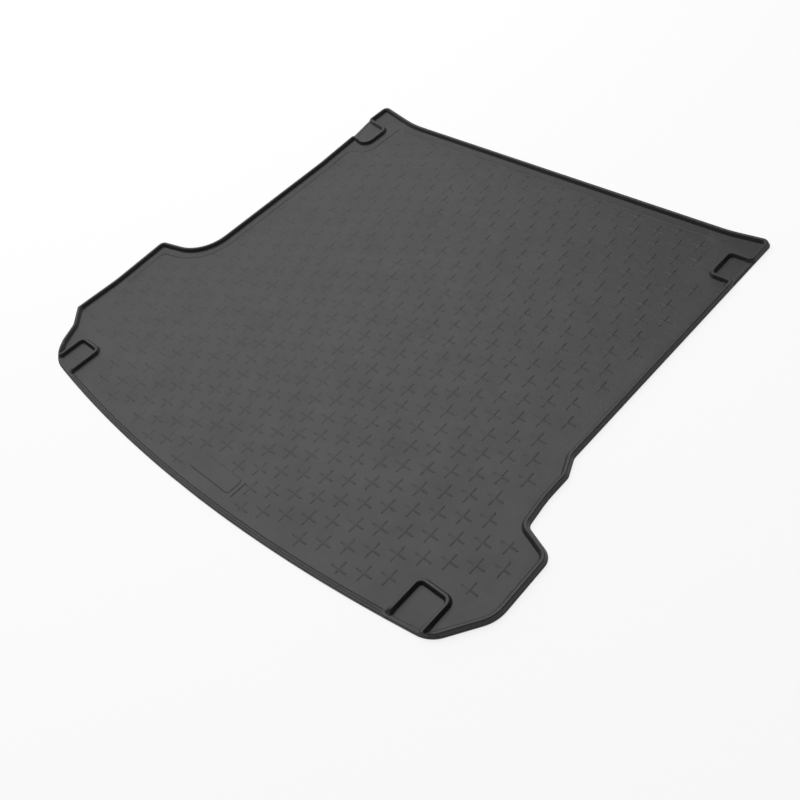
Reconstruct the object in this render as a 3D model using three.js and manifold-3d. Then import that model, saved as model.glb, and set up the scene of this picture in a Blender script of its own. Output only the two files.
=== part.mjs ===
// Car boot liner: a flat moulded rubber mat with a raised rim, tie-down pockets and a tread of crosses.
// Millimetres, +Z up. X runs across the car and +Y from the loading edge towards the seats.
import * as THREE from "three";
import { mergeVertices } from "three/addons/utils/BufferGeometryUtils.js";
import Module from "manifold-3d";

// Sheet, rim and bead sections
const sheetThickness = 3;
const rimHeight = 7.8;
const rimTopWidth = 4.8;
const rimDraft = 3.7;
const edgeLand = 0.4;
const beadHeight = 1.2;
const beadTopWidth = 4.6;
const beadDraft = 2.6;

// Plan stations across the car, from the middle of the mat
const leftArchTipX = -619;
const leftFrontX = -607.5;
const leftBellyX = -606;
const leftChamferX = -564;
const leftShoulderX = -542.5;
const leftBackX = -523;
const leftPocketX = -509.5;
const leftSideX = -500.5;
const leftArchX = -494.5;
const leftFlareX = -394;
const rightFlareX = 450;
const rightSideX = 532;
const rightStepX = 548;
const rightTipX = 555;
const rightArchX = 617.5;
const rightFrontX = 620;
const sillLeftX = -510.5;
const sillMiddleX = 26.5;
const sillRightX = 561;

// Plan stations along the car
const sillY = -494.5;
const sillTilt = 4;
const sillBow = 40.5;
const leftShoulderY = -459;
const leftChamferY = -418;
const leftFrontY = -378.5;
const leftBellyY = -270.5;
const leftArchY = -124;
const leftArchRise = 26;
const leftSideY = 276.5;
const leftPocketLowY = 398.5;
const leftPocketHighY = 470.5;
const rightFrontY = -405;
const rightArchY = -274.5;
const rightTipRise = 24;
const rightTipEndY = -194.5;
const rightStepY = -140;
const rightStepRun = 37;
const backY = 507.5;
const leftBackFlare = 30.5;
const rightBackFlare = 11;

// Corner radii of the outline
const sillBowRadius = 3400;
const sillLeftRadius = 90;
const sillRightRadius = 54;
const frontRadius = 67;
const leftFrontRadius = 9;
const leftArchTipRadius = 17;
const leftArchRadius = 76;
const leftPocketBendRadius = 84;
const leftFlareRadius = 56;
const rightTipRadius = 13;
const rightArchRadius = 27;
const backRadius = 16;
const bendRadius = 24;
const softBendRadius = 250;
const leastRadius = 0.5;

// Tie-down pockets, measured between the centres of their ribs
const frontLeftPocketReach = 67.5;
const frontRightPocketReach = 73.5;
const frontLeftPocketX = -472;
const frontRightPocketX = 513;
const frontPocketWidth = 63;
const backPocketReach = 51;
const backLeftPocketY = 422;
const backLeftPocketWidth = 74;
const backRightPocketY = 416;
const backRightPocketWidth = 69;
const pocketRadius = 12;
const backLeftPocketRadius = 18;
const nookRadius = 6;
const ribRamp = 9;

// Tread field, lower than the mat's margin
const fieldStep = 0.6;
const fieldMargin = 31;
const fieldSillMargin = 21;
const pocketMargin = 20;
const pocketMarginRadius = 38;

// Tread crosses on a square lattice that is turned against their arms
const crossPitch = 42.5;
const crossTurn = Math.atan2(1, 2);
const crossArm = 17.8;
const crossWidth = 4.8;
const crossHeight = 0.9;
const crossClearance = 1;
const shortestArm = 2;
const treadX = -17.5;
const treadY = -11.8;

// Raised plate and its end bar near the loading edge
const plateX = 34;
const plateY = -482.5;
const plateWidth = 115;
const plateDepth = 36;
const plateRadius = 8;
const plateHeight = 0.8;
const plateBarGap = 9;
const plateBarWidth = 2.5;
const plateBarRadius = 1.2;

// Depth that a raised feature reaches into the sheet below it, and a height above everything
const sink = 0.1;
const aboveAll = 2 * (sheetThickness + rimHeight);

// Smallest angle or length that counts, and the share of an edge that its arcs may use
const tolerance = 1e-4;
const arcShare = 0.999;

const wasm = await Module();
wasm.setup();

// A corner of an outline: its sharp point, the radius that rounds it and the steps of that arc
const corner = (x, y, radius = 0, steps = 3) => ({ x, y, radius, steps });

// Corners of the sheet's outline, counter-clockwise from the left end of the loading edge
const plan = {
  sillLeft: corner(sillLeftX, sillY - sillTilt, sillLeftRadius),
  sillMiddle: corner(sillMiddleX, sillY - 2 * sillBow, sillBowRadius, 10),
  sillRight: corner(sillRightX, sillY + sillTilt, sillRightRadius),
  rightFront: corner(rightFrontX, rightFrontY, frontRadius),
  rightArch: corner(rightArchX, rightArchY, rightArchRadius),
  rightTip: corner(rightTipX, rightArchY + rightTipRise, rightTipRadius, 2),
  rightTipEnd: corner(rightStepX, rightTipEndY, softBendRadius, 1),
  rightStep: corner(rightStepX, rightStepY, bendRadius, 2),
  rightSide: corner(rightSideX, rightStepY + rightStepRun, bendRadius, 2),
  rightBack: corner(rightSideX, backY + rightBackFlare, backRadius),
  rightFlare: corner(rightFlareX, backY, softBendRadius, 2),
  leftFlare: corner(leftFlareX, backY, softBendRadius, 2),
  leftBack: corner(leftBackX, backY + leftBackFlare, backRadius),
  leftPocketHigh: corner(leftBackX, leftPocketHighY, leftFlareRadius, 2),
  leftPocketLow: corner(leftPocketX, leftPocketLowY, leftPocketBendRadius, 2),
  leftSide: corner(leftSideX, leftSideY, softBendRadius, 1),
  leftArch: corner(leftArchX, leftArchY + leftArchRise, leftArchRadius, 7),
  leftArchTip: corner(leftArchTipX, leftArchY, leftArchTipRadius),
  leftBelly: corner(leftBellyX, leftBellyY, softBendRadius, 1),
  leftFront: corner(leftFrontX, leftFrontY, leftFrontRadius, 2),
  leftChamfer: corner(leftChamferX, leftChamferY, bendRadius, 1),
  leftShoulder: corner(leftShoulderX, leftShoulderY, bendRadius, 1),
};
const outline = Object.values(plan);
const numberOf = (name) => Object.keys(plan).indexOf(name);

// Direction, left-hand normal and length of the edge from one corner to the next
function edge(from, to) {
  const length = Math.hypot(to.x - from.x, to.y - from.y);
  const dx = (to.x - from.x) / length;
  const dy = (to.y - from.y) / length;
  return { dx, dy, nx: -dy, ny: dx, length };
}

// The edges that arrive at and leave a corner; an open path's ends have one edge for both
function edgesAt(corners, i, closed) {
  const count = corners.length;
  const arriving = closed || i > 0 ? edge(corners.at(i - 1), corners[i]) : edge(corners[0], corners[1]);
  const last = !closed && i === count - 1;
  const leaving = last ? arriving : edge(corners[i], corners[(i + 1) % count]);
  return { arriving, leaving };
}

// Moves every edge of a path to its left by one distance, or by a distance for each edge
function shifted(corners, closed, distance) {
  const count = corners.length;
  const distanceOf = Array.isArray(distance) ? (i) => distance[(i + count) % count] : () => distance;
  return corners.map((here, i) => {
    const { arriving: a, leaving: b } = edgesAt(corners, i, closed);
    const da = distanceOf(i - 1);
    const db = distanceOf(i);
    const turn = a.nx * b.ny - a.ny * b.nx;
    if (Math.abs(turn) < tolerance) return { ...here, x: here.x + a.nx * da, y: here.y + a.ny * da };
    const x = here.x + (da * b.ny - db * a.ny) / turn;
    const y = here.y + (db * a.nx - da * b.nx) / turn;
    const radius = Math.max(leastRadius, here.radius - (Math.sign(turn) * (da + db)) / 2);
    return { ...here, x, y, radius };
  });
}

// Points of a path whose corners are rounded, each arc limited by the edges beside it
function rounded(corners, closed) {
  const bends = corners.map((here, i) => {
    const { arriving, leaving } = edgesAt(corners, i, closed);
    const cross = arriving.dx * leaving.dy - arriving.dy * leaving.dx;
    const dot = arriving.dx * leaving.dx + arriving.dy * leaving.dy;
    const turn = Math.atan2(cross, dot);
    return { arriving, leaving, turn, tangent: here.radius * Math.tan(Math.abs(turn) / 2) };
  });
  const room = (i, j, length) => {
    const wanted = bends[i].tangent + bends.at(j).tangent;
    return wanted > length ? (arcShare * length) / wanted : 1;
  };
  return corners.flatMap((here, i) => {
    const { arriving, leaving, turn, tangent } = bends[i];
    if (tangent < tolerance) return [new THREE.Vector2(here.x, here.y)];
    const next = (i + 1) % corners.length;
    const reach = tangent * Math.min(room(i, i - 1, arriving.length), room(i, next, leaving.length));
    const radius = reach / Math.tan(Math.abs(turn) / 2);
    const side = Math.sign(turn);
    const startX = here.x - arriving.dx * reach;
    const startY = here.y - arriving.dy * reach;
    const centreX = startX + side * arriving.nx * radius;
    const centreY = startY + side * arriving.ny * radius;
    const from = Math.atan2(startY - centreY, startX - centreX);
    return Array.from({ length: here.steps + 1 }, (_, k) => {
      const angle = from + (turn * k) / here.steps;
      return new THREE.Vector2(centreX + radius * Math.cos(angle), centreY + radius * Math.sin(angle));
    });
  });
}

// A solid from a closed skin through rings of equal length, capped at both ends
function skinned(rings, cap) {
  const count = rings[0].length;
  const top = (rings.length - 1) * count;
  const index = [];
  for (let k = 0; k < rings.length - 1; k++) {
    for (let i = 0; i < count; i++) {
      const a = k * count + i;
      const b = k * count + ((i + 1) % count);
      index.push(a, b, b + count, a, b + count, a + count);
    }
  }
  for (const [a, b, c] of cap) {
    index.push(a, c, b, top + a, top + b, top + c);
  }
  return solidFrom(rings.flat(), index);
}

// A manifold solid from points and triangles
function solidFrom(points, index) {
  const geometry = new THREE.BufferGeometry().setFromPoints(points);
  geometry.setIndex(index);
  const merged = mergeVertices(geometry, tolerance);
  return new wasm.Manifold(
    new wasm.Mesh({
      numProp: 3,
      vertProperties: merged.attributes.position.array,
      triVerts: new Uint32Array(merged.index.array),
    }),
  );
}

// Lifts flat points to a height
const lifted = (points, z) => points.map((p) => new THREE.Vector3(p.x, p.y, z));

// A solid between flat rings that share one triangulated cap; each level is [points, z]
function stacked(levels) {
  const cap = THREE.ShapeUtils.triangulateShape(levels[0][0], []);
  return skinned(levels.map(([points, z]) => lifted(points, z)), cap);
}

// A straight-walled solid over closed, rounded corners
const prism = (corners, low, high) => {
  const points = rounded(corners, true);
  return stacked([[points, low], [points, high]]);
};

// The closed outline ring at a distance inside the sheet's edge
const outlineRing = (inset) => rounded(shifted(outline, true, inset), true);

// Lowest point of the outline at a station across the car
function sillEdgeY(x) {
  const ring = outlineRing(0);
  const crossings = ring.flatMap((p, i) => {
    const q = ring[(i + 1) % ring.length];
    const crosses = (p.x - x) * (q.x - x) <= 0 && p.x !== q.x;
    return crosses ? [p.y + ((x - p.x) / (q.x - p.x)) * (q.y - p.y)] : [];
  });
  return Math.min(...crossings);
}

// Point where a path's edge crosses a station across or along the car
function onEdge(from, to, axis, station) {
  const share = (station - from[axis]) / (to[axis] - from[axis]);
  return { x: from.x + share * (to.x - from.x), y: from.y + share * (to.y - from.y) };
}

// The sheet with a low bead along its whole edge
function beadedSheet() {
  const beadTop = sheetThickness + beadHeight;
  return stacked([
    [outlineRing(0), 0],
    [outlineRing(0), sheetThickness],
    [outlineRing(edgeLand + beadDraft), beadTop],
    [outlineRing(edgeLand + beadDraft + beadTopWidth), beadTop],
    [outlineRing(edgeLand + 2 * beadDraft + beadTopWidth), sheetThickness],
  ]);
}

// Corners of each pocket's rib, counter-clockwise from the mouth's first side
function pocketRibs() {
  const front = (x, reach) => ({
    left: x - frontPocketWidth / 2,
    right: x + frontPocketWidth / 2,
    top: sillY + reach,
  });
  const back = (x, y, width) => ({ x, low: y - width / 2, high: y + width / 2 });
  return {
    frontLeft: front(frontLeftPocketX, frontLeftPocketReach),
    frontRight: front(frontRightPocketX, frontRightPocketReach),
    backLeft: back(leftSideX + backPocketReach, backLeftPocketY, backLeftPocketWidth),
    backRight: back(rightSideX - backPocketReach, backRightPocketY, backRightPocketWidth),
  };
}

// Centre line of the rim's top, from the front right pocket round the mat to the front left one
function rimLine() {
  const inset = shifted(outline, true, edgeLand + rimDraft + rimTopWidth / 2);
  const { frontLeft, frontRight, backLeft, backRight } = pocketRibs();
  const rightStart = sillEdgeY(frontRight.left) + edgeLand + beadDraft + beadTopWidth / 2;
  const leftEnd = sillEdgeY(frontLeft.right) + edgeLand + beadDraft + beadTopWidth / 2;
  const rim = (name) => inset[numberOf(name)];
  const between = (first, last) => inset.slice(numberOf(first), numberOf(last) + 1);
  const rightNook = onEdge(rim("sillRight"), rim("rightFront"), "x", frontRight.right);
  const leftNook = onEdge(rim("leftShoulder"), rim("sillLeft"), "x", frontLeft.left);
  const sideX = rim("rightSide").x;
  return [
    corner(frontRight.left, rightStart),
    corner(frontRight.left, rightStart + ribRamp),
    corner(frontRight.left, frontRight.top, pocketRadius),
    corner(frontRight.right, frontRight.top, pocketRadius),
    corner(rightNook.x, rightNook.y, nookRadius, 4),
    ...between("rightFront", "rightSide"),
    corner(sideX, backRight.low, nookRadius, 2),
    corner(backRight.x, backRight.low, pocketRadius),
    corner(backRight.x, backRight.high, pocketRadius),
    corner(sideX, backRight.high, nookRadius, 2),
    ...between("rightBack", "leftBack"),
    { ...rim("leftPocketHigh"), radius: nookRadius, steps: 2 },
    corner(backLeft.x, backLeft.high, backLeftPocketRadius),
    corner(backLeft.x, backLeft.low, backLeftPocketRadius),
    { ...rim("leftPocketLow"), radius: nookRadius, steps: 2 },
    ...between("leftSide", "leftShoulder"),
    corner(leftNook.x, leftNook.y, nookRadius, 4),
    corner(frontLeft.left, frontLeft.top, pocketRadius),
    corner(frontLeft.right, frontLeft.top, pocketRadius),
    corner(frontLeft.right, leftEnd + ribRamp),
    corner(frontLeft.right, leftEnd),
  ];
}

// The rim and the pockets' ribs: one ridge with sloping sides that ramps down at its two ends
function rim() {
  const line = rimLine();
  const floor = sheetThickness - sink;
  const track = (offset) => rounded(shifted(line, false, offset), false);
  const top = rimTopWidth / 2;
  const base = top + rimDraft;
  const tracks = [track(-base), track(base), track(top), track(-top)];
  const last = tracks[0].length - 1;
  const rings = tracks[0].map((_, i) => {
    const height = i === 0 || i === last ? beadHeight : rimHeight;
    const levels = [floor, floor, sheetThickness + height, sheetThickness + height];
    return tracks.map((points, k) => new THREE.Vector3(points[i].x, points[i].y, levels[k]));
  });
  const ridge = skinned(rings, [[0, 1, 2], [0, 2, 3]]);
  const bounds = stacked([
    [outlineRing(edgeLand), 0],
    [outlineRing(edgeLand), aboveAll],
  ]);
  return ridge.intersect(bounds);
}

// Distance from the sheet's edge to the tread field, for each edge of the outline
function fieldCorners() {
  const margins = outline.map((_, i) => (i < numberOf("sillRight") ? fieldSillMargin : fieldMargin));
  return shifted(outline, true, margins);
}

// A rounded box round each pocket, where the margin keeps its height
function pocketSurrounds() {
  const { frontLeft, frontRight, backLeft, backRight } = pocketRibs();
  const grow = rimTopWidth / 2 + rimDraft + pocketMargin;
  const box = (x0, y0, x1, y1) => [
    corner(x0, y0, pocketMarginRadius),
    corner(x1, y0, pocketMarginRadius),
    corner(x1, y1, pocketMarginRadius),
    corner(x0, y1, pocketMarginRadius),
  ];
  const beyond = 3 * grow;
  return [
    box(frontLeft.left - grow, sillY - beyond, frontLeft.right + grow, frontLeft.top + grow),
    box(frontRight.left - grow, sillY - beyond, frontRight.right + grow, frontRight.top + grow),
    box(leftSideX - beyond, backLeft.low - grow, backLeft.x + grow, backLeft.high + grow),
    box(backRight.x - grow, backRight.low - grow, rightSideX + beyond, backRight.high + grow),
  ];
}

// Rounded box corners about a centre
const boxCorners = (x, y, width, depth, radius) => [
  corner(x - width / 2, y - depth / 2, radius),
  corner(x + width / 2, y - depth / 2, radius),
  corner(x + width / 2, y + depth / 2, radius),
  corner(x - width / 2, y + depth / 2, radius),
];

const fieldLevel = sheetThickness - fieldStep;
const platePad = boxCorners(plateX, plateY, plateWidth, plateDepth, plateRadius);
const barX = plateX + plateWidth / 2 + plateBarGap;
const plateBar = boxCorners(barX, plateY, plateBarWidth, plateDepth, plateBarRadius);

// Is a point inside a closed ring?
function inside(ring, x, y) {
  let within = false;
  ring.forEach((p, i) => {
    const q = ring.at(i - 1);
    const crosses = p.y > y !== q.y > y && x < p.x + ((y - p.y) / (q.y - p.y)) * (q.x - p.x);
    if (crosses) within = !within;
  });
  return within;
}

// Distance from a point to a ring, along one direction
function reachTo(ring, x, y, dx, dy) {
  return ring.reduce((nearest, p, i) => {
    const q = ring.at(i - 1);
    const ex = q.x - p.x;
    const ey = q.y - p.y;
    const across = dx * ey - dy * ex;
    if (Math.abs(across) < tolerance) return nearest;
    const along = ((p.x - x) * ey - (p.y - y) * ex) / across;
    const share = ((p.x - x) * dy - (p.y - y) * dx) / across;
    return along > 0 && share >= 0 && share <= 1 ? Math.min(nearest, along) : nearest;
  }, Infinity);
}

// Centres of the crosses in the tread field, with the reach of each arm: right, back, left, front
function crossPlaces() {
  const field = rounded(fieldCorners(), true);
  const blocked = [...pocketSurrounds(), platePad, plateBar].map((corners) => rounded(corners, true));
  const cos = crossPitch * Math.cos(crossTurn);
  const sin = crossPitch * Math.sin(crossTurn);
  const span = Math.ceil((rightFrontX - leftArchTipX) / crossPitch);
  const places = [];
  for (let i = -span; i <= span; i++) {
    for (let j = -span; j <= span; j++) {
      const x = treadX + i * cos - j * sin;
      const y = treadY + i * sin + j * cos;
      if (!inside(field, x, y) || blocked.some((ring) => inside(ring, x, y))) continue;
      const arms = [[1, 0], [0, 1], [-1, 0], [0, -1]].map(([dx, dy]) => {
        const free = Math.min(...[field, ...blocked].map((ring) => reachTo(ring, x, y, dx, dy)));
        return Math.max(shortestArm, Math.min(crossArm, free - crossClearance));
      });
      if (Math.min(...arms) > shortestArm) places.push({ x, y, arms });
    }
  }
  return places;
}

// The tread: every cross is a ridge with four arms that rise from their tips to the middle
function tread() {
  const base = fieldLevel - sink;
  const spread = (crossHeight + sink) / crossHeight;
  const half = (crossWidth / 2) * spread;
  const points = [];
  const index = [];
  for (const { x, y, arms } of crossPlaces()) {
    const first = points.length;
    const [right, back, left, front] = arms.map((arm) => arm * spread);
    points.push(new THREE.Vector3(x, y, base), new THREE.Vector3(x, y, fieldLevel + crossHeight));
    const star = [
      [right, 0],
      [half, half],
      [0, back],
      [-half, half],
      [-left, 0],
      [-half, -half],
      [0, -front],
      [half, -half],
    ];
    star.forEach(([dx, dy]) => points.push(new THREE.Vector3(x + dx, y + dy, base)));
    star.forEach((_, k) => {
      const here = first + 2 + k;
      const next = first + 2 + ((k + 1) % star.length);
      index.push(first, next, here, first + 1, here, next);
    });
  }
  return solidFrom(points, index);
}

// A low pad with sloping sides over closed corners, on the tread field
function pad(corners) {
  const foot = rounded(corners, true);
  const crown = rounded(shifted(corners, true, plateHeight), true);
  return stacked([[foot, fieldLevel - sink], [foot, fieldLevel], [crown, fieldLevel + plateHeight]]);
}

// The whole liner as one solid
function linerSolid() {
  const field = prism(fieldCorners(), fieldLevel, aboveAll);
  const surrounds = pocketSurrounds().map((corners) => prism(corners, 0, 2 * aboveAll));
  const recess = surrounds.reduce((rest, surround) => rest.subtract(surround), field);
  return beadedSheet().subtract(recess).add(rim()).add(tread()).add(pad(platePad)).add(pad(plateBar));
}

// A three.js geometry from a manifold solid
function geometryOf(solid) {
  const { numProp, numVert, vertProperties, triVerts } = solid.getMesh();
  const positions = new Float32Array(3 * numVert);
  for (let i = 0; i < numVert; i++) {
    positions.set(vertProperties.subarray(i * numProp, i * numProp + 3), 3 * i);
  }
  const geometry = new THREE.BufferGeometry();
  geometry.setAttribute("position", new THREE.BufferAttribute(positions, 3));
  geometry.setIndex(new THREE.BufferAttribute(triVerts, 1));
  geometry.computeVertexNormals();
  return geometry;
}

// Moves the geometry so that the origin is under the middle of the mat
function centred(geometry) {
  geometry.computeBoundingBox();
  const { min, max } = geometry.boundingBox;
  return geometry.translate(-(min.x + max.x) / 2, -(min.y + max.y) / 2, -min.z);
}

const rubber = new THREE.MeshStandardMaterial({ color: 0x3a3b3d, roughness: 0.75, metalness: 0 });
const bootLiner = new THREE.Mesh(centred(geometryOf(linerSolid())), rubber);
bootLiner.name = "boot_liner";

const group = new THREE.Group();
group.add(bootLiner);
export default group;
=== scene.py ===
# Car boot liner: a moulded rubber mat with a raised rim, tie-down pockets and a tread of small crosses.
# Plan sizes are in millimetres and become metres when the mesh and the camera are made.
import math

import bpy
import numpy as np
from mathutils import Euler, Matrix, Vector
from mathutils.geometry import delaunay_2d_cdt


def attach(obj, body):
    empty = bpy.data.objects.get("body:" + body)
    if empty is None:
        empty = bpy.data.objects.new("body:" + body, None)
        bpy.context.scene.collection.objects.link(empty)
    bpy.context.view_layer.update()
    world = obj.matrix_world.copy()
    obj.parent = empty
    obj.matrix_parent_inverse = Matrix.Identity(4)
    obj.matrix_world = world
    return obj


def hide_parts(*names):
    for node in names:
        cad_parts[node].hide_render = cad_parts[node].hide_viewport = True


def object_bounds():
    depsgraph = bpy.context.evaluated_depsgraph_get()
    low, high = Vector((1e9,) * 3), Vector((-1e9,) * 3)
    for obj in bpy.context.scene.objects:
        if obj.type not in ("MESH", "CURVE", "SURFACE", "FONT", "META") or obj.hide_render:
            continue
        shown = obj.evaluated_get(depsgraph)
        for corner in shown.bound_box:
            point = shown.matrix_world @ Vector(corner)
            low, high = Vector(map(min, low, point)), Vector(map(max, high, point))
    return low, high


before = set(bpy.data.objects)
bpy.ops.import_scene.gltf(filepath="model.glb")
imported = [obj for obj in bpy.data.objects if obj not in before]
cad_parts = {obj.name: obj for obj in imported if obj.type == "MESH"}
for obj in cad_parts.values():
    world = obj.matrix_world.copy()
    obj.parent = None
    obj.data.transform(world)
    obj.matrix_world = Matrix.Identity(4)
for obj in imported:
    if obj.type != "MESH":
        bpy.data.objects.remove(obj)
cad_low, cad_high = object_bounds()

# One plan millimetre in metres
MM = 0.001

# Sheet, rim and bead sections
SHEET = 3.0
RIM_HEIGHT = 7.8
RIM_TOP = 4.8
RIM_DRAFT = 3.7
LAND = 0.4
BEAD_HEIGHT = 1.2
BEAD_TOP = 4.6
BEAD_DRAFT = 2.6
RIM_BASE = RIM_TOP / 2 + RIM_DRAFT
RIM_SLOPE = RIM_HEIGHT / RIM_DRAFT
RIM_INSET = LAND + RIM_BASE
RIM_CROWN = 1.9
RIM_FILLET = 1.1
RIM_JOIN = 0.5
BEAD_SLOPE = BEAD_HEIGHT / BEAD_DRAFT
BEAD_CENTRE = LAND + BEAD_DRAFT + BEAD_TOP / 2
BEAD_CROWN = 0.5
BEAD_FILLET = 0.2
EDGE_ROUND = 0.35

# The rim's inner side is less steep than its outer side and the pocket ribs
INNER_DRAFT = 4.7
INNER_START = 2
INNER_BLEND = 5

# Two fine grooves beside the loading edge, from one front pocket to the other: distances from the edge
EDGE_GROOVES = (5.7, 10.6)
GROOVE_HALF = 1.2
GROOVE_DEPTH = 0.9
GROOVE_CLEAR = 0.5
GROOVE_START = 4
GROOVE_FADE = 12

# Outline of the sheet, counter-clockwise from the left end of the loading edge: x, y and corner radius
SILL_Y = -494.5
OUTLINE = [
    (-510.5, SILL_Y - 4, 90),
    (26.5, SILL_Y - 81, 3400),
    (561, SILL_Y + 4, 54),
    (620, -405, 67),
    (617.5, -274.5, 27),
    (555, -250.5, 13),
    (548, -194.5, 250),
    (548, -140, 24),
    (532, -103, 24),
    (532, 518.5, 16),
    (450, 507.5, 250),
    (-394, 507.5, 250),
    (-523, 538, 16),
    (-523, 470.5, 56),
    (-509.5, 398.5, 84),
    (-500.5, 276.5, 250),
    (-494.5, -98, 76),
    (-619, -124, 17),
    (-606, -270.5, 250),
    (-607.5, -378.5, 9),
    (-564, -418, 24),
    (-542.5, -459, 24),
]
RIGHT_FRONT = 3
RIGHT_SIDE = 8
LEFT_POCKET_BACK = 13
LEFT_POCKET_FRONT = 14
SILL_EDGES = 2

# Tie-down pockets: centre lines of their ribs
FRONT_LEFT = {"left": -503.5, "right": -440.5, "top": -427.0}
FRONT_RIGHT = {"left": 481.5, "right": 544.5, "top": -421.0}
BACK_LEFT = {"x": -449.5, "low": 385.0, "high": 459.0}
BACK_RIGHT = {"x": 481.0, "low": 381.5, "high": 450.5}
POCKET_RADIUS = 12
BACK_LEFT_RADIUS = 18
NOOK_RADIUS = 6
RIB_RAMP = 9

# Tread field: its step and border line, soft towards the front and the right
FIELD_STEP = 0.6
FIELD_MARGIN = 31
FIELD_SILL_MARGIN = 21
POCKET_MARGIN = 20
SURROUND_RADIUS = 38
STEP_WIDTH = 1.2
BORDER_HALF = 1.5
BORDER_HEIGHT = 0.5
SOFT_WIDTH = 22
SOFT_FRONT = -250
SOFT_RIGHT = 410
SOFT_SPAN = 50
JOIN_ROUND = 9

# Crosses
CROSS_PITCH = 42.5
CROSS_TURN = math.atan2(1, 2)
CROSS_ARM = 17.8
CROSS_HALF = 2.0
CROSS_HEIGHT = 0.68
CROSS_CLEARANCE = 1.5
SHORTEST_ARM = 6
ARM_STEP = 0.5
CREST_FLAT = 1.15
FIELD_EDGE_ROOM = 1.0
TABLE_HALF = 64
TREAD_ORIGIN = (-17.0, -10.8)

# Plate and its end bar
PLATE = (34, -482.5)
PLATE_HALF = (57.5, 18)
PLATE_RADIUS = 8
PLATE_HEIGHT = 0.8
PLATE_SLOPE = 1.2
PLATE_CROWN = 0.5
PLATE_FILLET = 0.25
BAR = (100.5, -482.5)
BAR_HALF = (1.25, 18)
BAR_RADIUS = 1.2

SURROUND_GROW = RIM_BASE + POCKET_MARGIN

# Lines that the mesh follows, by distance from the edge, the rim's middle, the border and the plate
SPACING = 9.0
OUTLINE_SPACING = 200
GAP = 2.6 * SPACING
LONGEST_STEP = 30.0
EDGE_LINES = (0.9, 1.6, 2.6, 3.4, 4.4, 5.1, 5.7, 6.3, 7.0, 7.6, 8.2, 9.3, 10.0, 10.6, 11.2, 11.9, 12.6)
RIM_LINES = (0, 1.3, 1.9, 2.5, 3.2, 4.3, 5.3, 5.8, 6.3, 6.9, 7.5, 8.2)
BORDER_LINES = (-1.6, -0.9, 0.0, 0.9, 1.6)
PLATE_LINES = (-0.3, 0.0, 0.35, 0.6, 0.9, 1.2)
BAR_LINES = (-0.3, 0.0, 0.35, 0.7)
CROSS_LINES = (1.08, 0.9, 0.55)
PLATE_SPACING = 20
RIM_CLEAR = 0.9
EDGE_CLEAR = 0.12
LINE_ERROR = 0.05
BORDER_ERROR = 0.1
SLOPE_STEP = 0.05
UPPER_MERGE = 1e-3
UNDERSIDE_MERGE = 1e-4

# Rounded corners: turn of each step in radians, longest step on an arc, and the round ends of the crosses
OUTLINE_TURN = 0.08
RIM_TURN = 0.1
PLATE_TURN = 0.25
ARC_STEP = 12.0
LEAST_RADIUS = 0.5
MITRE_LIMIT = 0.5
END_ANGLES = (-90, -38, 38, 90)

# Rounded edge from the top down: share of the rounding outward, height, normal outward and up
EDGE_ROWS = (
    (0.7, SHEET - 0.3 * EDGE_ROUND, 0.7, 0.7),
    (1.0, SHEET - EDGE_ROUND, 1.0, 0.0),
    (1.0, EDGE_ROUND, 1.0, 0.0),
    (0.7, 0.3 * EDGE_ROUND, 0.7, -0.7),
    (0.0, 0.0, 0.0, -1.0),
)

# Rubber: two shades, gloss and grain
DARK_SHADE = (0.019, 0.0192, 0.0197)
LIGHT_SHADE = (0.0235, 0.0237, 0.0243)
ROUGHNESS = (0.48, 0.55)
SPECULAR_LEVEL = 0.65
NOISE_SPAN = (0.3, 0.7)
FINE_STRENGTH = 0.35
FINE_DEPTH = 0.0006
COARSE_STRENGTH = 0.25
COARSE_DEPTH = 0.002

# Noises of the rubber: scale, detail and roughness
SHADE_NOISE = (7, 4, 0.55)
GLOSS_NOISE = (14, 5, 0.6)
FINE_NOISE = (900, 3, 0.6)
COARSE_NOISE = (60, 3, 0.5)

# Camera: metres over the plan, degrees and millimetres
CAMERA_PLACE = (1.1626, -0.8210, 1.2153)
CAMERA_TURN = (42.53, 11.63, 43.63)
CAMERA_LENS = 42.04
CAMERA_SENSOR = 36
CAMERA_CLIP = (0.05, 60)

# Studio: metres, watts and brightness
FLOOR_HALF = 12
FLOOR_DROP = 0.0003
FLOOR_COLOUR = 0.88
FLOOR_SHADE = 0.3
FLOOR_GLOW = 0.76
BACKDROP_TOP = 0.27
BACKDROP_LOW = -0.07
BACKDROP_WAY = (-0.7, 0.71, 0.0)
BACKDROP_SPREAD = 0.45
BACKDROP_EDGE = 0.1
STUDIO_DIM = 0.06
SOFTBOX_PLACE = (-2.15, 0.75, 4.3)
SOFTBOX_SIZE = (6.0, 6.0)
SOFTBOX_WATTS = 248


# Plan geometry


def edge_vectors(points, closed):
    """Unit directions of the edges that leave each point; an open path repeats its last one."""
    ahead = np.roll(points, -1, axis=0) - points
    if not closed:
        ahead[-1] = ahead[-2]
    return ahead / np.linalg.norm(ahead, axis=1, keepdims=True)


def left_of(v):
    """Vectors turned a quarter to the left."""
    return np.stack([-v[..., 1], v[..., 0]], axis=-1)


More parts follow.
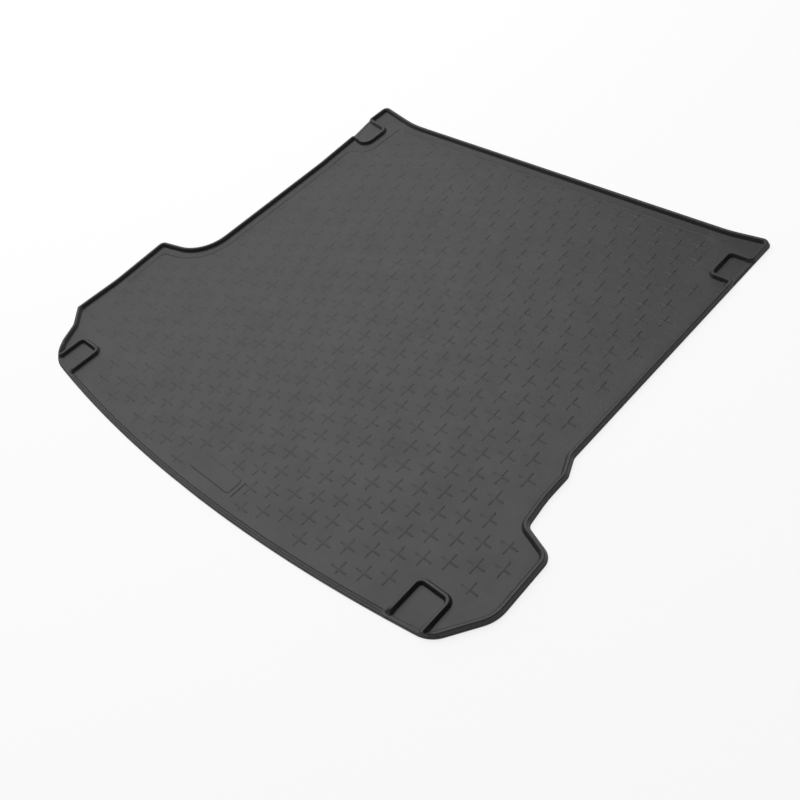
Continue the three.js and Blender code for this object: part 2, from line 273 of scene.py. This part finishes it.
def shifted(corners, closed, distance):
    """Moves every edge of a cornered path to its left by one distance, or by one for each edge."""
    points = np.array([c[:2] for c in corners], float)
    radii = np.array([c[2] for c in corners], float)
    leaving = edge_vectors(points, closed)
    arriving = np.roll(leaving, 1, axis=0)
    if not closed:
        arriving[0] = leaving[0]
    a, b = left_of(arriving), left_of(leaving)
    db = np.broadcast_to(np.asarray(distance, float), len(points))
    da = np.roll(db, 1)
    turn = a[:, 0] * b[:, 1] - a[:, 1] * b[:, 0]
    flat = np.abs(turn) < 1e-4
    safe = np.where(flat, 1.0, turn)
    x = points[:, 0] + np.where(flat, a[:, 0] * da, (da * b[:, 1] - db * a[:, 1]) / safe)
    y = points[:, 1] + np.where(flat, a[:, 1] * da, (db * a[:, 0] - da * b[:, 0]) / safe)
    radius = np.where(flat, radii, np.maximum(LEAST_RADIUS, radii - np.sign(turn) * (da + db) / 2))
    return list(zip(x, y, radius))


def rounded(corners, closed, turn_step):
    """Points of a cornered path with rounded corners, limited by the edges beside each corner."""
    points = np.array([c[:2] for c in corners], float)
    radii = np.array([c[2] for c in corners], float)
    leaving = edge_vectors(points, closed)
    arriving = np.roll(leaving, 1, axis=0)
    if not closed:
        arriving[0] = leaving[0]
    cross = arriving[:, 0] * leaving[:, 1] - arriving[:, 1] * leaving[:, 0]
    turn = np.arctan2(cross, (arriving * leaving).sum(1))
    tangent = radii * np.tan(np.abs(turn) / 2)
    after = np.linalg.norm(np.roll(points, -1, axis=0) - points, axis=1)
    wanted = tangent + np.roll(tangent, -1)
    room_after = np.minimum(1, 0.999 * after / np.maximum(wanted, 1e-9))
    room = np.minimum(room_after, np.roll(room_after, 1))
    out = []
    for i, here in enumerate(points):
        if tangent[i] < 1e-3:
            out.append(here)
            continue
        reach = tangent[i] * room[i]
        bend = abs(turn[i])
        radius = reach / math.tan(bend / 2)
        start = here - arriving[i] * reach
        centre = start + np.sign(turn[i]) * left_of(arriving[i]) * radius
        spoke = start - centre
        steps = max(2, math.ceil(bend / turn_step), math.ceil(bend * radius / ARC_STEP))
        for k in range(steps + 1):
            angle = turn[i] * k / steps
            c, s = math.cos(angle), math.sin(angle)
            out.append(centre + np.array([c * spoke[0] - s * spoke[1], s * spoke[0] + c * spoke[1]]))
    return np.array(out)


def resampled(points, closed, spacing):
    """Splits the long edges of a path."""
    ends = np.roll(points, -1, axis=0)
    count = len(points) if closed else len(points) - 1
    out = []
    for i in range(count):
        parts = max(1, math.ceil(np.linalg.norm(ends[i] - points[i]) / spacing))
        for k in range(parts):
            out.append(points[i] + (ends[i] - points[i]) * k / parts)
    if not closed:
        out.append(points[-1])
    return np.array(out)


def nearest(points, path, closed):
    """For each point: distance to the path and how far along it the nearest place is."""
    a = path if closed else path[:-1]
    b = np.roll(path, -1, axis=0) if closed else path[1:]
    ab = b - a
    length2 = np.maximum((ab * ab).sum(1), 1e-12)
    length = np.sqrt(length2)
    start = np.concatenate([[0], np.cumsum(length)[:-1]])
    distance = np.empty(len(points))
    along = np.empty(len(points))
    batch = 2000
    for first in range(0, len(points), batch):
        p = points[first : first + batch]
        dx = p[:, None, 0] - a[None, :, 0]
        dy = p[:, None, 1] - a[None, :, 1]
        share = np.clip((dx * ab[:, 0] + dy * ab[:, 1]) / length2, 0, 1)
        ex = dx - share * ab[:, 0]
        ey = dy - share * ab[:, 1]
        d2 = ex * ex + ey * ey
        best = d2.argmin(1)
        row = np.arange(len(p))
        distance[first : first + len(p)] = np.sqrt(d2[row, best])
        along[first : first + len(p)] = start[best] + share[row, best] * length[best]
    return distance, along


def inside(ring, points):
    """Which points lie inside a closed ring?"""
    within = np.zeros(len(points), bool)
    x, y = points[:, 0], points[:, 1]
    for p, q in zip(ring, np.roll(ring, 1, axis=0)):
        spans = (p[1] > y) != (q[1] > y)
        if spans.any():
            hit = np.zeros(len(points), bool)
            at = p[0] + (y[spans] - p[1]) / (q[1] - p[1]) * (q[0] - p[0])
            hit[spans] = x[spans] < at
            within ^= hit
    return within


def on_edge(p, q, axis, station):
    """Point of the edge p to q whose x (axis 0) or y (axis 1) is the station."""
    share = (station - p[axis]) / (q[axis] - p[axis])
    return (p[0] + share * (q[0] - p[0]), p[1] + share * (q[1] - p[1]))


def sill_edge_y(ring, x):
    """Lowest point of a ring at a station across the mat."""
    lows = []
    for p, q in zip(ring, np.roll(ring, -1, axis=0)):
        if (p[0] - x) * (q[0] - x) <= 0 and p[0] != q[0]:
            lows.append(p[1] + (x - p[0]) / (q[0] - p[0]) * (q[1] - p[1]))
    return min(lows)


def rim_corners(ring):
    """Centre line of the rim's top, from the front right pocket round the mat to the front left one."""
    inset = shifted(OUTLINE, True, RIM_INSET)
    right_start = sill_edge_y(ring, FRONT_RIGHT["left"]) + BEAD_CENTRE
    left_end = sill_edge_y(ring, FRONT_LEFT["right"]) + BEAD_CENTRE
    right_nook = on_edge(inset[RIGHT_FRONT - 1], inset[RIGHT_FRONT], 0, FRONT_RIGHT["right"])
    left_nook = on_edge(inset[-1], inset[0], 0, FRONT_LEFT["left"])
    side_x = inset[RIGHT_SIDE][0]
    path = [
        (FRONT_RIGHT["left"], right_start, 0),
        (FRONT_RIGHT["left"], FRONT_RIGHT["top"], POCKET_RADIUS),
        (FRONT_RIGHT["right"], FRONT_RIGHT["top"], POCKET_RADIUS),
        (*right_nook, NOOK_RADIUS),
    ]
    path += inset[RIGHT_FRONT : RIGHT_SIDE + 1]
    path += [
        (side_x, BACK_RIGHT["low"], NOOK_RADIUS),
        (BACK_RIGHT["x"], BACK_RIGHT["low"], POCKET_RADIUS),
        (BACK_RIGHT["x"], BACK_RIGHT["high"], POCKET_RADIUS),
        (side_x, BACK_RIGHT["high"], NOOK_RADIUS),
    ]
    path += inset[RIGHT_SIDE + 1 : LEFT_POCKET_BACK]
    path += [
        (*inset[LEFT_POCKET_BACK][:2], NOOK_RADIUS),
        (BACK_LEFT["x"], BACK_LEFT["high"], BACK_LEFT_RADIUS),
        (BACK_LEFT["x"], BACK_LEFT["low"], BACK_LEFT_RADIUS),
        (*inset[LEFT_POCKET_FRONT][:2], NOOK_RADIUS),
    ]
    path += inset[LEFT_POCKET_FRONT + 1 :]
    path += [
        (*left_nook, NOOK_RADIUS),
        (FRONT_LEFT["left"], FRONT_LEFT["top"], POCKET_RADIUS),
        (FRONT_LEFT["right"], FRONT_LEFT["top"], POCKET_RADIUS),
        (FRONT_LEFT["right"], left_end, 0),
    ]
    return path


def box_corners(x0, y0, x1, y1, radius):
    return [(x0, y0, radius), (x1, y0, radius), (x1, y1, radius), (x0, y1, radius)]


def plate_box(centre, half):
    return (centre[0] - half[0], centre[1] - half[1], centre[0] + half[0], centre[1] + half[1])


def surround_boxes():
    """The box round each pocket where the margin keeps its height: x0, y0, x1, y1."""
    g = SURROUND_GROW
    far = 5 * g
    return [
        (FRONT_LEFT["left"] - g, SILL_Y - far, FRONT_LEFT["right"] + g, FRONT_LEFT["top"] + g),
        (FRONT_RIGHT["left"] - g, SILL_Y - far, FRONT_RIGHT["right"] + g, FRONT_RIGHT["top"] + g),
        (BACK_LEFT["x"] - far, BACK_LEFT["low"] - g, BACK_LEFT["x"] + g, BACK_LEFT["high"] + far),
        (BACK_RIGHT["x"] - g, BACK_RIGHT["low"] - g, BACK_RIGHT["x"] + far, BACK_RIGHT["high"] + far),
    ]


def box_distance(points, x0, y0, x1, y1, radius):
    """Signed distance to a rounded box, positive outside."""
    centre = np.array([(x0 + x1) / 2, (y0 + y1) / 2])
    half = np.array([(x1 - x0) / 2, (y1 - y0) / 2]) - radius
    q = np.abs(points - centre) - half
    outside = np.linalg.norm(np.maximum(q, 0), axis=1)
    return outside + np.minimum(q.max(1), 0) - radius


def smooth_min(a, b, k):
    h = np.maximum(k - np.abs(a - b), 0) / k
    return np.minimum(a, b) - h * h * k / 4


def smooth_max(a, b, k):
    return -smooth_min(-a, -b, k)


def smooth_step(t):
    t = np.clip(t, 0, 1)
    return t * t * (3 - 2 * t)


# Reference lines that the heights are measured from
edge_ring = resampled(rounded(OUTLINE, True, OUTLINE_TURN), True, OUTLINE_SPACING)
rim_path = rounded(rim_corners(edge_ring), False, RIM_TURN)
rim_length = np.linalg.norm(np.diff(rim_path, axis=0), axis=1).sum()
margins = [FIELD_SILL_MARGIN if i < SILL_EDGES else FIELD_MARGIN for i in range(len(OUTLINE))]
field_ring = rounded(shifted(OUTLINE, True, margins), True, OUTLINE_TURN)
surrounds = surround_boxes()
plan_centre = (edge_ring.min(0) + edge_ring.max(0)) / 2


def field_depth(points):
    """How deep a point lies inside the tread field; negative outside it."""
    distance, _ = nearest(points, field_ring, True)
    depth = np.where(inside(field_ring, points), distance, -distance)
    for box in surrounds:
        depth = smooth_min(depth, box_distance(points, *box, SURROUND_RADIUS), JOIN_ROUND)
    return depth


# Crosses that fit the field: centre and the reach of each arm (right, back, left, front)


def free_room(points):
    """Distance from a point to the nearest of the field's border, the plate and the bar."""
    room = field_depth(points)
    room = np.minimum(room, box_distance(points, *plate_box(PLATE, PLATE_HALF), PLATE_RADIUS))
    return np.minimum(room, box_distance(points, *plate_box(BAR, BAR_HALF), BAR_RADIUS))


def lattice_centres():
    """Lattice points that lie on the mat with room round them."""
    cos, sin = CROSS_PITCH * math.cos(CROSS_TURN), CROSS_PITCH * math.sin(CROSS_TURN)
    span = range(-TABLE_HALF // 2, TABLE_HALF // 2 + 1)
    i, j = np.array([(i, j) for i in span for j in span], float).T
    centres = np.stack([TREAD_ORIGIN[0] + i * cos - j * sin, TREAD_ORIGIN[1] + i * sin + j * cos], axis=1)
    centres = centres[inside(edge_ring, centres)]
    return centres[free_room(centres) > FIELD_EDGE_ROOM]


def cross_places():
    """Centres of the crosses and their arms, each arm cut back where it has no room."""
    centres = lattice_centres()
    steps = np.arange(0, CROSS_ARM + ARM_STEP, ARM_STEP)
    arms = []
    for way in ((1, 0), (0, 1), (-1, 0), (0, -1)):
        samples = centres[:, None, :] + steps[None, :, None] * np.array(way)
        room = free_room(samples.reshape(-1, 2)).reshape(len(centres), len(steps))
        blocked = room < CROSS_CLEARANCE
        first = np.where(blocked.any(1), blocked.argmax(1), len(steps))
        arms.append(np.minimum(steps[np.maximum(first - 1, 0)], CROSS_ARM))
    arms = np.stack(arms, axis=1)
    keep = arms.min(1) > SHORTEST_ARM
    return centres[keep], arms[keep]


def lattice_cell(points):
    """Whole lattice steps from the tread's origin to the cross nearest to each point."""
    cos, sin = math.cos(CROSS_TURN), math.sin(CROSS_TURN)
    x, y = ((points - np.array(TREAD_ORIGIN)) / CROSS_PITCH).T
    return np.rint(np.stack([x * cos + y * sin, -x * sin + y * cos], axis=1)).astype(int)


def cross_table():
    """Cross number for each lattice cell, -1 where a cell has none."""
    table = np.full((2 * TABLE_HALF, 2 * TABLE_HALF), -1)
    cells = lattice_cell(cross_centres) + TABLE_HALF
    table[cells[:, 0], cells[:, 1]] = np.arange(len(cells))
    return table


cross_centres, cross_arms = cross_places()
cross_numbers = cross_table()


# Heights of the upper side


def cross_height(points):
    """Height of the tread crosses: ridges with a round back and round ends."""
    cell = lattice_cell(points) + TABLE_HALF
    known = ((cell >= 0) & (cell < 2 * TABLE_HALF)).all(1)
    number = np.full(len(points), -1)
    number[known] = cross_numbers[cell[known, 0], cell[known, 1]]
    height = np.zeros(len(points))
    has = number >= 0
    d = points[has] - cross_centres[number[has]]
    arm = cross_arms[number[has]] - CROSS_HALF
    x = np.clip(d[:, 0], -arm[:, 2], arm[:, 0])
    y = np.clip(d[:, 1], -arm[:, 3], arm[:, 1])
    along_x = np.hypot(d[:, 0] - x, d[:, 1])
    along_y = np.hypot(d[:, 0], d[:, 1] - y)
    share = np.clip(np.minimum(along_x, along_y) / CROSS_HALF, 0, 1)
    height[has] = CROSS_HEIGHT * smooth_step(CREST_FLAT * (1 - share))
    return height


def pad_height(points, box, radius):
    """Height of the plate or its bar: a low pad with sloped sides."""
    depth = -box_distance(points, *box, radius)
    return smooth_max(smooth_min(depth * PLATE_SLOPE, PLATE_HEIGHT, PLATE_CROWN), 0, PLATE_FILLET)


def rim_height(edge_distance, rim_distance, along):
    """Rim and pocket ribs above the sheet; their two ends run down into the bead."""
    from_end = np.minimum(along, rim_length - along)
    crest = BEAD_HEIGHT + (RIM_HEIGHT - BEAD_HEIGHT) * smooth_step(from_end / RIB_RAMP)
    beyond = edge_distance - RIM_INSET - rim_distance
    inner = smooth_step((edge_distance - RIM_INSET) / INNER_START) * smooth_step(1 - beyond / INNER_BLEND)
    draft = RIM_DRAFT + (INNER_DRAFT - RIM_DRAFT) * inner
    rim = smooth_min((RIM_TOP / 2 + draft - rim_distance) * RIM_HEIGHT / draft, crest, RIM_CROWN)
    return smooth_max(rim, 0, RIM_FILLET)


def bead_height(edge_distance):
    """Height of the low bead along the edge; the rim covers it away from the loading edge."""
    side = (BEAD_TOP / 2 + BEAD_DRAFT - np.abs(edge_distance - BEAD_CENTRE)) * BEAD_SLOPE
    return smooth_max(smooth_min(side, BEAD_HEIGHT, BEAD_CROWN), 0, BEAD_FILLET)


def groove_depth(points, edge_distance, rim):
    """Depth of the two grooves, which fade before the front pockets and beside the rim."""
    across = sum(smooth_step(1 - np.abs(edge_distance - place) / GROOVE_HALF) for place in EDGE_GROOVES)
    clear = smooth_step(1 - rim / GROOVE_CLEAR)
    between = np.minimum(points[:, 0] - FRONT_LEFT["right"], FRONT_RIGHT["left"] - points[:, 0])
    ends = smooth_step((between - GROOVE_START) / GROOVE_FADE)
    at_front = points[:, 1] < 0
    return GROOVE_DEPTH * across * clear * ends * at_front


def field_height(points):
    """The step down into the tread field and the fine raised line on its border."""
    depth = field_depth(points)
    past = np.maximum(SOFT_FRONT - points[:, 1], points[:, 0] - SOFT_RIGHT)
    soft = smooth_step(past / SOFT_SPAN)
    width = STEP_WIDTH + (SOFT_WIDTH - STEP_WIDTH) * soft
    line = smooth_step(CREST_FLAT * (1 - np.abs(depth) / BORDER_HALF)) * (1 - soft)
    return BORDER_HEIGHT * line - FIELD_STEP * smooth_step(depth / width + 0.5)


def surface_height(points):
    """Height of the mat's upper side over any point of its plan."""
    edge_distance, _ = nearest(points, edge_ring, True)
    rim_distance, along = nearest(points, rim_path, False)
    rim = rim_height(edge_distance, rim_distance, along)
    raised = smooth_max(rim, bead_height(edge_distance), RIM_JOIN)
    raised = raised - groove_depth(points, edge_distance, rim)
    raised = np.minimum(raised, np.maximum(edge_distance - EDGE_ROUND, 0) * RIM_SLOPE)
    plate = pad_height(points, plate_box(PLATE, PLATE_HALF), PLATE_RADIUS)
    bar = pad_height(points, plate_box(BAR, BAR_HALF), BAR_RADIUS)
    return SHEET + field_height(points) + raised + cross_height(points) + plate + bar


# Feature lines that the mesh follows


class FeatureLines:
    """Points and edges of every line that the mesh follows."""

    def __init__(self):
        self.points = []
        self.edges = []

    def add(self, path, closed, keep=None, gap=LONGEST_STEP):
        """Adds a path; where points are dropped, it is joined again across a small gap."""
        if keep is not None:
            if closed and not keep.all():
                first = int(np.argmin(keep))
                path = np.roll(path, -first, axis=0)
                keep = np.roll(keep, -first)
                closed = False
            path = path[keep]
        if len(path) < 2:
            return
        first = len(self.points)
        self.points.extend(path.tolist())
        steps = np.linalg.norm(np.diff(path, axis=0), axis=1)
        self.edges.extend((first + i, first + i + 1) for i, step in enumerate(steps) if step < gap)
        if closed:
            self.edges.append((len(self.points) - 1, first))


def parallel(path, closed, offset):
    """The path's points moved sideways."""
    leaving = edge_vectors(path, closed)
    arriving = np.roll(leaving, 1, axis=0)
    if not closed:
        arriving[0] = leaving[0]
    normal = left_of(arriving) + left_of(leaving)
    normal /= np.linalg.norm(normal, axis=1, keepdims=True)
    stretch = 1 / np.maximum((normal * left_of(leaving)).sum(1, keepdims=True), MITRE_LIMIT)
    return path + normal * stretch * offset


def add_edge_lines(lines):
    ring = resampled(edge_ring, True, SPACING)
    for offset in EDGE_LINES:
        line = parallel(ring, True, offset)
        from_edge, _ = nearest(line, edge_ring, True)
        from_rim, _ = nearest(line, rim_path, False)
        keep = (np.abs(from_edge - offset) < LINE_ERROR) & (from_rim > RIM_BASE + RIM_CLEAR)
        lines.add(line, True, keep, GAP)


def add_rim_lines(lines):
    path = resampled(rim_path, False, SPACING)
    for offset in RIM_LINES:
        for side in (1, -1) if offset else (1,):
            line = parallel(path, False, side * offset)
            from_edge, _ = nearest(line, edge_ring, True)
            from_rim, _ = nearest(line, rim_path, False)
            keep = (from_edge > EDGE_ROUND + EDGE_CLEAR) & (np.abs(from_rim - offset) < LINE_ERROR)
            lines.add(line, False, keep & inside(edge_ring, line), GAP)


def add_border_lines(lines):
    field = resampled(field_ring, True, SPACING)
    for offset in BORDER_LINES:
        line = parallel(field, True, offset)
        lines.add(line, True, np.abs(field_depth(line) - offset) < BORDER_ERROR, GAP)
    for box in surrounds:
        ring = resampled(rounded(box_corners(*box, SURROUND_RADIUS), True, RIM_TURN), True, SPACING)
        for offset in BORDER_LINES:
            line = parallel(ring, True, -offset)
            keep = np.abs(field_depth(line) - offset) < BORDER_ERROR
            lines.add(line, True, keep & inside(edge_ring, line), GAP)


def add_plate_lines(lines, box, radius, offsets):
    for offset in offsets:
        ring = rounded(shifted(box_corners(*box, radius), True, offset), True, PLATE_TURN)
        lines.add(resampled(ring, True, PLATE_SPACING), True)


def cross_outline(arm, half):
    """Line round a cross at a distance from its ridges, with round ends."""
    points = []
    for way, reach in zip(((1, 0), (0, 1), (-1, 0), (0, -1)), arm - CROSS_HALF):
        ahead = np.array(way, float)
        side = left_of(ahead)
        points.append(half * ahead - half * side)
        for angle in END_ANGLES:
            t = math.radians(angle)
            points.append(ahead * (reach + half * math.cos(t)) + side * half * math.sin(t))
    return np.array(points)


def add_cross_lines(lines):
    """Foot, shoulder and ridge lines of every cross."""
    for centre, arm in zip(cross_centres, cross_arms):
        for share in CROSS_LINES:
            lines.add(centre + cross_outline(arm, share * CROSS_HALF), True)
        right, back, left, front = arm - CROSS_HALF
        lines.add(centre + np.array([(-left, 0), (0, 0), (right, 0)]), False)
        lines.add(centre + np.array([(0, -front), (0, 0), (0, back)]), False)


def feature_lines(boundary):
    lines = FeatureLines()
    lines.add(boundary, True)
    add_edge_lines(lines)
    add_rim_lines(lines)
    add_border_lines(lines)
    add_plate_lines(lines, plate_box(PLATE, PLATE_HALF), PLATE_RADIUS, PLATE_LINES)
    add_plate_lines(lines, plate_box(BAR, BAR_HALF), BAR_RADIUS, BAR_LINES)
    add_cross_lines(lines)
    return lines


# Mesh


def boundary_loop(faces):
    """The boundary's vertices in order."""
    edges = [(a, b) for face in faces.tolist() for a, b in zip(face, face[1:] + face[:1])]
    paired = set(edges)
    follow = {a: b for a, b in edges if (b, a) not in paired}
    start = next(iter(follow))
    loop = [start]
    while follow[loop[-1]] != start:
        loop.append(follow[loop[-1]])
    if len(loop) != len(follow):
        raise RuntimeError(f"the boundary has {len(follow)} edges but its first loop has {len(loop)}")
    return loop


def counter_clockwise(corners):
    """Which triangles have corners that run counter-clockwise?"""
    p = corners[:, 1] - corners[:, 0]
    q = corners[:, 2] - corners[:, 0]
    return p[:, 0] * q[:, 1] > p[:, 1] * q[:, 0]


def upper_side():
    """Plan of the upper side, its triangles facing up, and its boundary loop counter-clockwise."""
    boundary = resampled(parallel(edge_ring, True, EDGE_ROUND), True, SPACING)
    lines = feature_lines(boundary)
    coords = [Vector(p) for p in lines.points]
    found, _, faces, _, _, _ = delaunay_2d_cdt(coords, lines.edges, [], 0, UPPER_MERGE, False)
    plan = np.array([tuple(v) for v in found])
    faces = np.array([tuple(f) for f in faces])
    faces = faces[inside(boundary, plan[faces].mean(1))]
    loop = boundary_loop(faces)
    x, y = plan[loop].T
    if (x * np.roll(y, -1) - np.roll(x, -1) * y).sum() < 0:
        faces = faces[:, ::-1]
        loop = loop[::-1]
    return plan, faces, loop


def upper_normals(plan):
    """Normals of the upper side, not yet of unit length."""
    rise = []
    for way in ((SLOPE_STEP, 0.0), (0.0, SLOPE_STEP)):
        way = np.array(way)
        rise.append((surface_height(plan + way) - surface_height(plan - way)) / (2 * SLOPE_STEP))
    return np.column_stack([-rise[0], -rise[1], np.ones(len(plan))])


def underside(ring, base):
    """Triangles of the flat underside, facing down; its first vertex has number base."""
    count = len(ring)
    loop = [(k, (k + 1) % count) for k in range(count)]
    found, _, faces, _, _, _ = delaunay_2d_cdt([Vector(p) for p in ring], loop, [], 0, UNDERSIDE_MERGE, False)
    if len(found) != count:
        raise RuntimeError("the underside gained points")
    faces = np.array([tuple(f) for f in faces])
    faces = faces[inside(ring, ring[faces].mean(1))]
    facing_up = counter_clockwise(ring[faces])
    faces[facing_up] = faces[facing_up][:, [0, 2, 1]]
    return (base + faces).tolist()


def edge_bands(loop, first):
    """Triangles from the upper side's boundary down the edge to the underside."""
    count = len(loop)
    previous = list(loop)
    triangles = []
    for row in range(len(EDGE_ROWS)):
        here = [first + row * count + k for k in range(count)]
        for k in range(count):
            m = (k + 1) % count
            triangles.append([previous[k], here[k], here[m]])
            triangles.append([previous[k], here[m], previous[m]])
        previous = here
    return triangles


def liner_shape():
    """Vertices in plan millimetres, their normals, and the triangles of the whole mat."""
    plan, faces, loop = upper_side()
    z = surface_height(plan)
    z[loop] = SHEET
    up = upper_normals(plan)
    up[loop] = (0, 0, 1)
    verts = [np.column_stack([plan, z])]
    normals = [up]
    ring = plan[loop]
    out = -left_of(edge_vectors(ring, True))
    out = out + np.roll(out, 1, axis=0)
    out /= np.linalg.norm(out, axis=1, keepdims=True)
    for reach, height, across, rise in EDGE_ROWS:
        verts.append(np.column_stack([ring + out * reach * EDGE_ROUND, np.full(len(ring), height)]))
        normals.append(np.column_stack([out * across, np.full(len(ring), rise)]))
    verts = np.concatenate(verts)
    normals = np.concatenate(normals)
    normals /= np.linalg.norm(normals, axis=1, keepdims=True)
    triangles = faces.tolist() + edge_bands(loop, len(plan)) + underside(ring, len(verts) - len(ring))
    return verts, normals, triangles


def make_liner():
    verts, normals, triangles = liner_shape()
    verts[:, :2] -= plan_centre
    verts = np.clip(MM * verts, np.array(cad_low), np.array(cad_high))
    mesh = bpy.data.meshes.new("rubber_mat")
    mesh.from_pydata(verts.tolist(), [], triangles)
    mesh.shade_smooth()
    mesh.normals_split_custom_set_from_vertices(normals.tolist())
    mesh.validate()
    liner = bpy.data.objects.new("rubber_mat", mesh)
    bpy.context.scene.collection.objects.link(liner)
    return liner


# Materials


class NodeTree:
    """The empty node tree of a new material or world, with short calls to add and link nodes."""

    def __init__(self, owner):
        owner.use_nodes = True
        self.nodes = owner.node_tree.nodes
        self.links = owner.node_tree.links
        self.nodes.clear()

    def add(self, kind, **inputs):
        """Adds a node; each input is given a number, a colour or the socket that feeds it."""
        node = self.nodes.new(kind)
        for name, value in inputs.items():
            socket = node.inputs[name.replace("_", " ")]
            if isinstance(value, bpy.types.NodeSocket):
                self.links.new(value, socket)
            else:
                socket.default_value = value
        return node

    def math(self, operation, a, b):
        node = self.nodes.new("ShaderNodeMath")
        node.operation = operation
        self.links.new(a, node.inputs[0])
        self.links.new(b, node.inputs[1])
        return node.outputs[0]

    def fade(self, source, span, low, high):
        """Runs smoothly from low to high while the source goes from 0 to the span."""
        node = self.add("ShaderNodeMapRange", Value=source, From_Max=span, To_Min=low, To_Max=high)
        node.interpolation_type = "SMOOTHSTEP"
        return node.outputs["Result"]


def rubber_material():
    """Black rubber with a fine moulded grain, slightly uneven in gloss and shade."""
    material = bpy.data.materials.new("rubber")
    tree = NodeTree(material)
    place = tree.add("ShaderNodeTexCoord").outputs["Object"]

    def noise(scale, detail, roughness):
        node = tree.add("ShaderNodeTexNoise", Vector=place, Scale=scale, Detail=detail, Roughness=roughness)
        return node.outputs["Fac"]

    def map_noise(values, low, high):
        start, end = NOISE_SPAN
        node = tree.add("ShaderNodeMapRange", Value=noise(*values), From_Min=start, From_Max=end)
        node.inputs["To Min"].default_value = low
        node.inputs["To Max"].default_value = high
        return node.outputs["Result"]

    def bump(values, strength, depth):
        return tree.add("ShaderNodeBump", Height=noise(*values), Strength=strength, Distance=depth)

    shade = tree.add("ShaderNodeValToRGB", Fac=noise(*SHADE_NOISE))
    for element, position, colour in zip(shade.color_ramp.elements, NOISE_SPAN, (DARK_SHADE, LIGHT_SHADE)):
        element.position = position
        element.color = (*colour, 1)
    fine = bump(FINE_NOISE, FINE_STRENGTH, FINE_DEPTH)
    coarse = bump(COARSE_NOISE, COARSE_STRENGTH, COARSE_DEPTH)
    tree.links.new(fine.outputs["Normal"], coarse.inputs["Normal"])
    shader = tree.add("ShaderNodeBsdfPrincipled", Base_Color=shade.outputs["Color"])
    tree.links.new(map_noise(GLOSS_NOISE, *ROUGHNESS), shader.inputs["Roughness"])
    tree.links.new(coarse.outputs["Normal"], shader.inputs["Normal"])
    shader.inputs["Specular IOR Level"].default_value = SPECULAR_LEVEL
    tree.add("ShaderNodeOutputMaterial", Surface=shader.outputs["BSDF"])
    return material


def seen_rays(tree):
    """1 for rays from the camera, off gloss or through glass, 0 for the rays that carry light."""
    path = tree.add("ShaderNodeLightPath")
    total = path.outputs["Is Camera Ray"]
    for name in ("Is Glossy Ray", "Is Transmission Ray"):
        total = tree.math("MAXIMUM", total, path.outputs[name])
    return total


def floor_material():
    """White floor that keeps the mat's soft shadow."""
    material = bpy.data.materials.new("floor_white")
    tree = NodeTree(material)
    paint = tree.add("ShaderNodeBsdfDiffuse", Color=(*[FLOOR_COLOUR] * 3, 1))
    shade = tree.add("ShaderNodeBsdfDiffuse", Color=(*[FLOOR_SHADE] * 3, 1))
    white = tree.add("ShaderNodeEmission", Strength=FLOOR_GLOW)
    seen = tree.add("ShaderNodeAddShader")
    tree.links.new(shade.outputs["BSDF"], seen.inputs[0])
    tree.links.new(white.outputs["Emission"], seen.inputs[1])
    mix = tree.add("ShaderNodeMixShader", Fac=seen_rays(tree))
    tree.links.new(paint.outputs["BSDF"], mix.inputs[1])
    tree.links.new(seen.outputs["Shader"], mix.inputs[2])
    tree.add("ShaderNodeOutputMaterial", Surface=mix.outputs["Shader"])
    return material


liner = make_liner()
liner.data.materials.append(rubber_material())
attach(liner, "root")
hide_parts("boot_liner")


# Floor, light and camera


def add_floor():
    mesh = bpy.data.meshes.new("floor")
    corners = [(x * FLOOR_HALF, y * FLOOR_HALF, 0) for x, y in ((-1, -1), (1, -1), (1, 1), (-1, 1))]
    mesh.from_pydata(corners, [], [(0, 1, 2, 3)])
    floor = bpy.data.objects.new("floor", mesh)
    floor.location.z = -FLOOR_DROP
    mesh.materials.append(floor_material())
    bpy.context.scene.collection.objects.link(floor)


def add_softbox():
    """One wide soft light that looks at the middle of the mat."""
    light = bpy.data.lights.new("softbox", "AREA")
    light.shape = "RECTANGLE"
    light.size, light.size_y = SOFTBOX_SIZE
    light.energy = SOFTBOX_WATTS
    lamp = bpy.data.objects.new("softbox", light)
    lamp.location = SOFTBOX_PLACE
    lamp.rotation_euler = (-Vector(SOFTBOX_PLACE)).to_track_quat("-Z", "Y").to_euler()
    bpy.context.scene.collection.objects.link(lamp)


def add_world():
    """A dim studio with a white backdrop behind the mat."""
    world = bpy.data.worlds.new("studio")
    tree = NodeTree(world)
    way = tree.add("ShaderNodeTexCoord").outputs["Generated"]
    behind = tree.add("ShaderNodeVectorMath")
    behind.operation = "DOT_PRODUCT"
    behind.inputs[1].default_value = BACKDROP_WAY
    tree.links.new(way, behind.inputs[0])
    top = tree.fade(behind.outputs["Value"], BACKDROP_SPREAD, BACKDROP_LOW, BACKDROP_TOP)
    height = tree.math("SUBTRACT", tree.add("ShaderNodeSeparateXYZ", Vector=way).outputs["Z"], top)
    around = tree.add("ShaderNodeBackground", Strength=tree.fade(height, BACKDROP_EDGE, 1.0, STUDIO_DIM))
    tree.add("ShaderNodeOutputWorld", Surface=around.outputs["Background"])
    bpy.context.scene.world = world


def add_camera():
    """The photograph's camera, placed over the plan."""
    data = bpy.data.cameras.new("camera")
    data.sensor_width = CAMERA_SENSOR
    data.lens = CAMERA_LENS
    data.clip_start, data.clip_end = CAMERA_CLIP
    camera = bpy.data.objects.new("camera", data)
    turn = Euler([math.radians(angle) for angle in CAMERA_TURN])
    place = Vector(CAMERA_PLACE) - Vector((*plan_centre, 0)) * MM
    camera.matrix_world = Matrix.LocRotScale(place, turn, None)
    bpy.context.scene.collection.objects.link(camera)
    bpy.context.scene.camera = camera


add_floor()
add_world()
add_softbox()
add_camera()
bpy.context.scene.view_settings.view_transform = "Standard"
